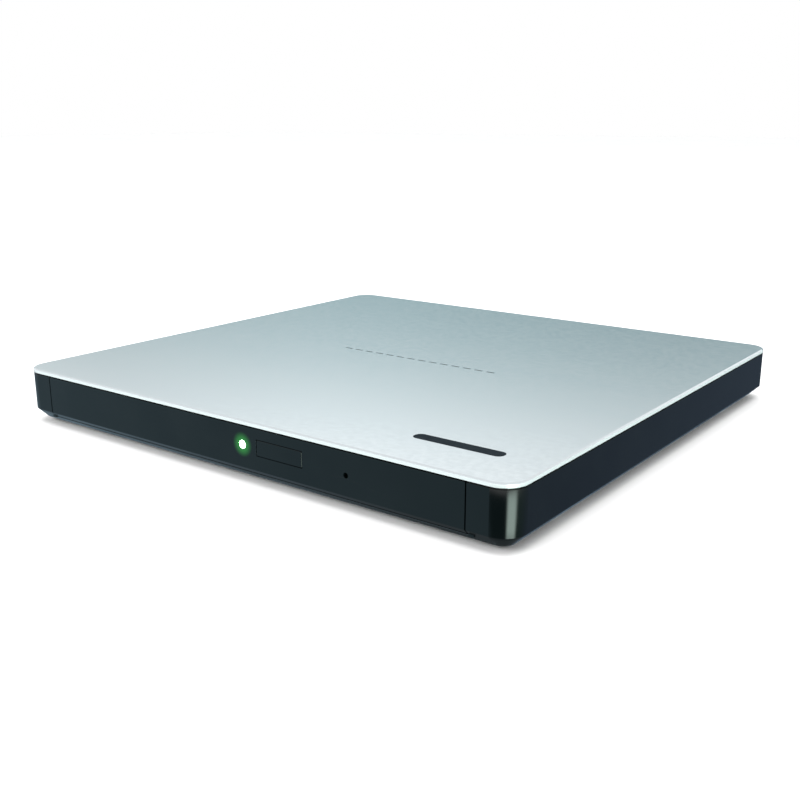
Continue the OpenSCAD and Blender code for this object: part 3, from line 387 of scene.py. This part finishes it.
def circuit_board():
    """Solder mask over copper tracks that run along and across, with small vias."""
    s = Shader("board_green", (0.008, 0.085, 0.04), roughness=0.32, coat=0.4)
    x, y, _ = s.axes()
    lane = s.repeat(x, 1.3 * MM)
    tracks = s.math("MULTIPLY", s.within(lane, 0.3, 0.62, 0.05), s.remap(s.noise(120), 0.47, 0.53))
    lane = s.repeat(y, 1.5 * MM)
    cross = s.math("MULTIPLY", s.within(lane, 0.3, 0.58, 0.05), s.remap(s.noise(110), 0.5, 0.56, 1.0, 0.0))
    copper = s.math("MAXIMUM", tracks, cross)
    tone = s.mix(copper, (0.008, 0.085, 0.04), (0.02, 0.16, 0.07))
    via = s.remap(s.cells(420), 0.10, 0.14, 1.0, 0.0)
    s.paint(s.mix(via, tone, (0.62, 0.5, 0.26)))
    s.shade(s.noise(400), 0.26, 0.4)
    s.bump(copper, 30)
    return s


def wound_copper():
    """Enamelled wire laid in close turns, with painted shade in the grooves between turns and a painted
    highlight on their crowns.
    """
    s = Shader("copper", (0.55, 0.22, 0.09), metallic=0.85, roughness=0.3, coat=0.5)
    turns = s.node("ShaderNodeTexWave", Scale=1500.0, Distortion=0.4, Vector=s.coords).outputs[0]
    # Painted shade and highlight: the colour follows the bump's wave, darker in the grooves between turns and
    # lighter on their crowns.
    s.paint(s.mix(turns, (0.36, 0.13, 0.05), (0.68, 0.30, 0.13)))
    s.shade(s.noise(600), 0.22, 0.4)
    s.bump(turns, 50)
    return s


def cast_alloy():
    s = Shader("cast_metal", (0.36, 0.37, 0.39), metallic=0.9, roughness=0.45)
    s.vary(300, 0.12)
    s.shade(s.noise(900), 0.38, 0.55)
    s.bump(s.noise(1900, detail=5), 20)
    return s


def sintered_bronze():
    s = Shader("bronze", (0.48, 0.30, 0.12), metallic=1.0, roughness=0.4)
    s.vary(900, 0.2)
    s.shade(s.noise(2000), 0.34, 0.5)
    s.bump(s.cells(4000), 10)
    return s


def label_film():
    """Blank label film with a fine printed border and faint fibres."""
    s = Shader("label_paper", (0.62, 0.64, 0.65), roughness=0.55)
    low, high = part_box("label_plate")
    x, y, _ = s.axes()

    def inside(margin):
        across, along = (s.within(value, low[i] + margin, high[i] - margin, 0.05 * MM)
                         for i, value in enumerate((x, y)))
        return s.math("MULTIPLY", across, along)

    border = s.math("SUBTRACT", inside(1.4 * MM), inside(1.75 * MM))
    fibre = s.noise(1800, coords=s.stretch((1, 5, 1)))
    tone = s.tint(fibre, 0.3, 0.7, (0.58, 0.60, 0.61), (0.66, 0.68, 0.69))
    s.paint(s.mix(border, tone, (0.12, 0.13, 0.14)))
    s.shade(fibre, 0.48, 0.62)
    s.bump(fibre, 6)
    return s


def flat_flex():
    """White film with the shadow of its conductors."""
    s = Shader("flex_film", (0.74, 0.74, 0.72), roughness=0.38)
    wire = s.within(s.repeat(s.axes()[0], 1.0 * MM), 0.2, 0.75, 0.08)
    s.paint(s.mix(wire, (0.80, 0.80, 0.78), (0.60, 0.61, 0.62)))
    s.shade(s.noise(500), 0.32, 0.46)
    s.bump(wire, 20)
    return s


def clear_light(name, glow, strength):
    """Clear moulded plastic lit from within, with a faint swirl."""
    s = Shader(name, (0.75, 1.0, 0.78), roughness=0.12, ior=1.49)
    s.set("Transmission Weight", 0.35)
    s.set("Emission Strength", strength)
    swirl = s.noise(1500)
    s.drive("Emission Color", s.tint(swirl, 0.3, 0.7, glow, (0.9, 1.0, 0.85)))
    s.shade(swirl, 0.08, 0.2)
    s.bump(swirl, 4)
    return s


def bezel_black():
    """The case's glossy black, with a painted green glow of the status light round its lens, given off by the
    bezel itself.
    """
    s = gloss_black("black_bezel")
    low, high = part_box("led_lens")
    lens_radius = (high[0] - low[0]) / 2
    x, _, z = s.axes()
    far = s.distance(x, z, (low[0] + lens_radius, high[2] - lens_radius))
    # Painted glow: the bezel emits green round the lens in place of the status light's spill.
    painted_led_glow = s.remap(far, 0.7 * MM, 3.0 * MM, 1.0, 0.0)
    s.drive("Emission Color", s.mix(painted_led_glow, (0.0, 0.0, 0.0), (0.05, 0.42, 0.07)))
    s.set("Emission Strength", 0.55)
    return s


def lens_plastic():
    """Matt black holder whose middle is the coated glass lens, violet at its rim."""
    s = Shader("lens_black", (0.02, 0.02, 0.022), roughness=0.4)
    low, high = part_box("lens_holder")
    x, y, _ = s.axes()
    far = s.distance(x, y, ((low[0] + high[0]) / 2, (low[1] + high[1]) / 2))
    glass = s.remap(far, 1.7 * MM, 1.8 * MM, 1.0, 0.0)
    rim = s.remap(far, 0.4 * MM, 1.7 * MM)
    grain = s.noise(2400)
    plastic = s.tint(grain, 0.3, 0.7, (0.016, 0.016, 0.018), (0.026, 0.026, 0.029))
    s.paint(s.mix(glass, plastic, s.mix(rim, (0.01, 0.02, 0.05), (0.10, 0.03, 0.16))))
    s.drive("Roughness", s.mix(glass, (0.42, 0.42, 0.42), (0.03, 0.03, 0.03)))
    s.bump(s.math("MULTIPLY", grain, s.math("SUBTRACT", 1.0, glass)), 6)
    return s


def badge_enamel():
    """Matt dark enamel with almost no sheen."""
    s = moulded("badge_grey", (0.009, 0.014, 0.018), 0.6, 2600, 4)
    s.set("Specular IOR Level", 0.03)
    return s


def pale_floor():
    """Pale matt floor that shows nothing from underneath."""
    s = Shader("floor", (0.97, 0.97, 0.97), roughness=0.7)
    s.vary(8, 0.01)
    new, link = s.tree.nodes.new, s.tree.links.new
    choose = new("ShaderNodeMixShader")
    link(new("ShaderNodeNewGeometry").outputs["Backfacing"], choose.inputs[0])
    link(s.bsdf.outputs[0], choose.inputs[1])
    link(new("ShaderNodeBsdfTransparent").outputs[0], choose.inputs[2])
    link(choose.outputs[0], s.tree.nodes["Material Output"].inputs["Surface"])
    return s


def all_materials():
    made = {
        "silver_cover": silver_paint(),
        "black_case": gloss_black("black_case"),
        "black_bezel": bezel_black(),
        "button_black": gloss_black("button_black"),
        "badge_grey": badge_enamel(),
        "foot_rubber": soft_rubber("foot_rubber", (0.022, 0.022, 0.024)),
        "pad_rubber": soft_rubber("pad_rubber", (0.030, 0.030, 0.032)),
        "screw_steel": polished_steel("screw_steel", (0.60, 0.61, 0.63)),
        "rod_steel": polished_steel("rod_steel"),
        "motor_steel": polished_steel("motor_steel", (0.64, 0.65, 0.67)),
        "socket_steel": sheet_metal("socket_steel", (0.66, 0.67, 0.69), 0.26, (14, 1, 1)),
        "sheet_steel": sheet_metal("sheet_steel"),
        "label_paper": label_film(),
        "foam": closed_foam(),
        "board_green": circuit_board(),
        "chip_black": moulded("chip_black", (0.018, 0.018, 0.021), 0.5, 4200, 8),
        "connector_black": moulded("connector_black", (0.024, 0.024, 0.027), 0.42, 3000, 6),
        "connector_ivory": moulded("connector_ivory", (0.68, 0.62, 0.47), 0.42, 3000, 6),
        "white_plastic": moulded("white_plastic", (0.70, 0.70, 0.66), 0.4, 2600, 6),
        "hub_plastic": moulded("hub_plastic", (0.40, 0.40, 0.39), 0.34, 2600, 4),
        "tray_grey": moulded("tray_grey", (0.040, 0.042, 0.046), 0.46, 2400, 22),
        "magnet_dark": moulded("magnet_dark", (0.05, 0.05, 0.052), 0.5, 3400, 8),
        "lens_black": lens_plastic(),
        "flex_film": flat_flex(),
        "light_pipe": clear_light("light_pipe", (0.25, 1.0, 0.3), 5.0),
        "led_green": clear_light("led_green", (0.1, 1.0, 0.2), 8.0),
        "copper": wound_copper(),
        "bronze": sintered_bronze(),
        "cast_metal": cast_alloy(),
    }
    return {name: s.material for name, s in made.items()}


bpy.context.scene.view_settings.view_transform = "Standard"
make_camera()
make_world()
MATERIALS = all_materials()
SLOT_OF = {row["node"]: row["material_slot"] for row in RECORD["subparts"]}


def finish_node(node, obj):
    material = MATERIALS[SLOT_OF[node]]
    if not obj.material_slots:
        obj.data.materials.append(material)
    for used in obj.material_slots:
        used.material = material


for node, obj in NODES.items():
    finish_node(node, obj)


# ---- Softened edges on the mouldings that show ----

WELD_DISTANCE = 0.002 * MM
EDGE_SEGMENTS = 2
EDGE_ANGLE = math.radians(32)
EDGE_RADIUS = {
    "top_cover": 0.10, "bottom_case": 0.10, "tray_bezel": 0.14, "eject_button": 0.14, "tray": 0.14,
    "rubber_feet": 0.25, "turntable": 0.12, "pickup_sled": 0.12, "usb_shell": 0.07, "latch_lever": 0.1,
    "lower_chassis": 0.07, "upper_chassis_cover": 0.07, "rail_left": 0.08, "rail_right": 0.08,
    "cover_badge": 0.05, "ejector_plunger": 0.1, "lens_holder": 0.1,
}


def soften(node, radius_mm):
    obj = NODES[node]
    weld = obj.modifiers.new("weld", "WELD")
    weld.merge_threshold = WELD_DISTANCE
    bevel = obj.modifiers.new("bevel", "BEVEL")
    bevel.width = radius_mm * MM
    bevel.segments = EDGE_SEGMENTS
    bevel.limit_method = "ANGLE"
    bevel.angle_limit = EDGE_ANGLE
    bevel.use_clamp_overlap = True
    bevel.harden_normals = False


for node, radius_mm in EDGE_RADIUS.items():
    soften(node, radius_mm)


# ---- Pieces with finer shapes than the frame's solids ----

UP = Vector((0, 0, 1))


def mesh_piece(name, points, faces, material_slot, smooth=True):
    mesh = bpy.data.meshes.new(name)
    mesh.from_pydata([tuple(p) for p in points], [], faces)
    mesh.validate()
    mesh.polygons.foreach_set("use_smooth", [smooth] * len(mesh.polygons))
    obj = bpy.data.objects.new(name, mesh)
    bpy.context.scene.collection.objects.link(obj)
    obj.data.materials.append(MATERIALS[material_slot])
    return obj


def tube_faces(rings, around):
    """Quads between successive rings of points, and a cap on each end."""
    faces = []
    for i in range(rings - 1):
        for k in range(around):
            nxt = (k + 1) % around
            faces.append((i * around + k, i * around + nxt, (i + 1) * around + nxt, (i + 1) * around + k))
    faces.append(tuple(reversed(range(around))))
    faces.append(tuple((rings - 1) * around + k for k in range(around)))
    return faces


def ring(centre, side, up, radii):
    """Points round the centre, one for each radius."""
    angles = (math.tau * k / len(radii) for k in range(len(radii)))
    return [centre + radius * (math.cos(angle) * side + math.sin(angle) * up)
            for angle, radius in zip(angles, radii)]


def make_lead_screw():
    """The lead screw with its rolled thread and two plain journals."""
    pitch, depth, around, step = 3.0 * MM, 0.32 * MM, 24, 0.1 * MM
    journal_radius, journal_length = 0.6 * MM, 1.8 * MM
    low, high = (Vector(corner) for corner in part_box("lead_screw"))
    joint = next(j for j in RECORD["behaviour"]["joints"] if j["name"] == "lead_screw_spin")
    along = Vector(joint["axis"]).normalized()
    if along.x > 0:
        along = -along
    side = Vector((-along.y, along.x, 0.0))
    radius = (high.z - low.z) / 2
    length = ((high.x - low.x) - 2 * journal_radius * abs(along.y)) / abs(along.x)
    middle = (low + high) / 2
    points = []
    count = round(length / step)
    for i in range(count + 1):
        travel = -length / 2 + length * i / count
        if abs(travel) > length / 2 - journal_length:
            radii = [journal_radius] * around
        else:
            phases = ((2 * travel / pitch + k / around) % 1.0 for k in range(around))
            radii = [radius - depth * (0.5 - 0.5 * math.cos(math.tau * phase)) ** 2 for phase in phases]
        points += ring(middle + along * travel, side, UP, radii)
    piece = mesh_piece("lead_screw_thread", points, tube_faces(count + 1, around), "rod_steel")
    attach(piece, "lead_screw")
    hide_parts("lead_screw")


def make_ejector_spring():
    """The ejector's coil spring, one fixed coil that lies between the tray and the plunger."""
    wire, turns, steps, around = 0.16 * MM, 4, 24, 8
    low, high = (Vector(corner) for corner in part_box("ejector_spring"))
    coil = (high.x - low.x) / 2 - wire
    middle = (low + high) / 2
    total = turns * steps
    span = high.y - low.y - 2 * wire
    points = []
    for i in range(total + 1):
        angle = math.tau * i / steps
        out = Vector((math.cos(angle), 0, math.sin(angle)))
        centre = Vector((middle.x, low.y + wire + span * i / total, middle.z)) + coil * out
        points += ring(centre, out, Vector((0, 1, 0)), [wire] * around)
    piece = mesh_piece("ejector_coil", points, tube_faces(total + 1, around), "screw_steel")
    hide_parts("ejector_spring")
    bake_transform(piece)


def make_flex_cable():
    """The flat flexible cable: its low run folds back into a high run that ends at the tray's connector, all in
    one fixed piece.
    """
    inset, half_thickness, run_steps, fold_steps = 0.1 * MM, 0.09 * MM, 40, 16
    low, high = (Vector(corner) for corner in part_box("flex_cable"))
    board_end_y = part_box("tray_flex_connector")[0][1] + 1.0 * MM
    z0, z1 = low.z + inset, high.z - inset
    fold_r = (z1 - z0) / 2
    fold_y = low.y + fold_r + inset
    path = [(high.y - (high.y - fold_y) * i / run_steps, z0, 0.0) for i in range(run_steps + 1)]
    for i in range(1, fold_steps):
        angle = math.pi * i / fold_steps
        path.append((fold_y - fold_r * math.sin(angle), z0 + fold_r - fold_r * math.cos(angle), angle))
    path += [(fold_y + (board_end_y - fold_y) * i / run_steps, z1, math.pi) for i in range(run_steps + 1)]
    points = []
    for y, z, angle in path:
        lift = Vector((0, math.sin(angle), math.cos(angle))) * half_thickness
        for x, sign in ((low.x, -1), (high.x, -1), (high.x, 1), (low.x, 1)):
            points.append(Vector((x, y, z)) + lift * sign)
    piece = mesh_piece("flat_cable", points, tube_faces(len(path), 4), "flex_film", smooth=False)
    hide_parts("flex_cable")
    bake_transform(piece)


make_lead_screw()
make_ejector_spring()
make_flex_cable()


# ---- Floor and lamps ----

def make_floor():
    """The floor catches the object's shadow, and isn't seen in reflections or bounced light."""
    bpy.ops.mesh.primitive_plane_add(size=8.0, location=(0, 0, 0))
    floor = bpy.context.object
    floor.name = "floor"
    floor.data.materials.append(pale_floor().material)
    floor.visible_glossy = False
    floor.visible_diffuse = False
    floor.visible_shadow = False


make_floor()
make_light("overhead", (0.0, 0.1, 0.9), (1.2, 1.2), 9.0)
make_light("front_fill", (-0.25, -0.75, 0.5), (0.9, 0.5), 4.0)
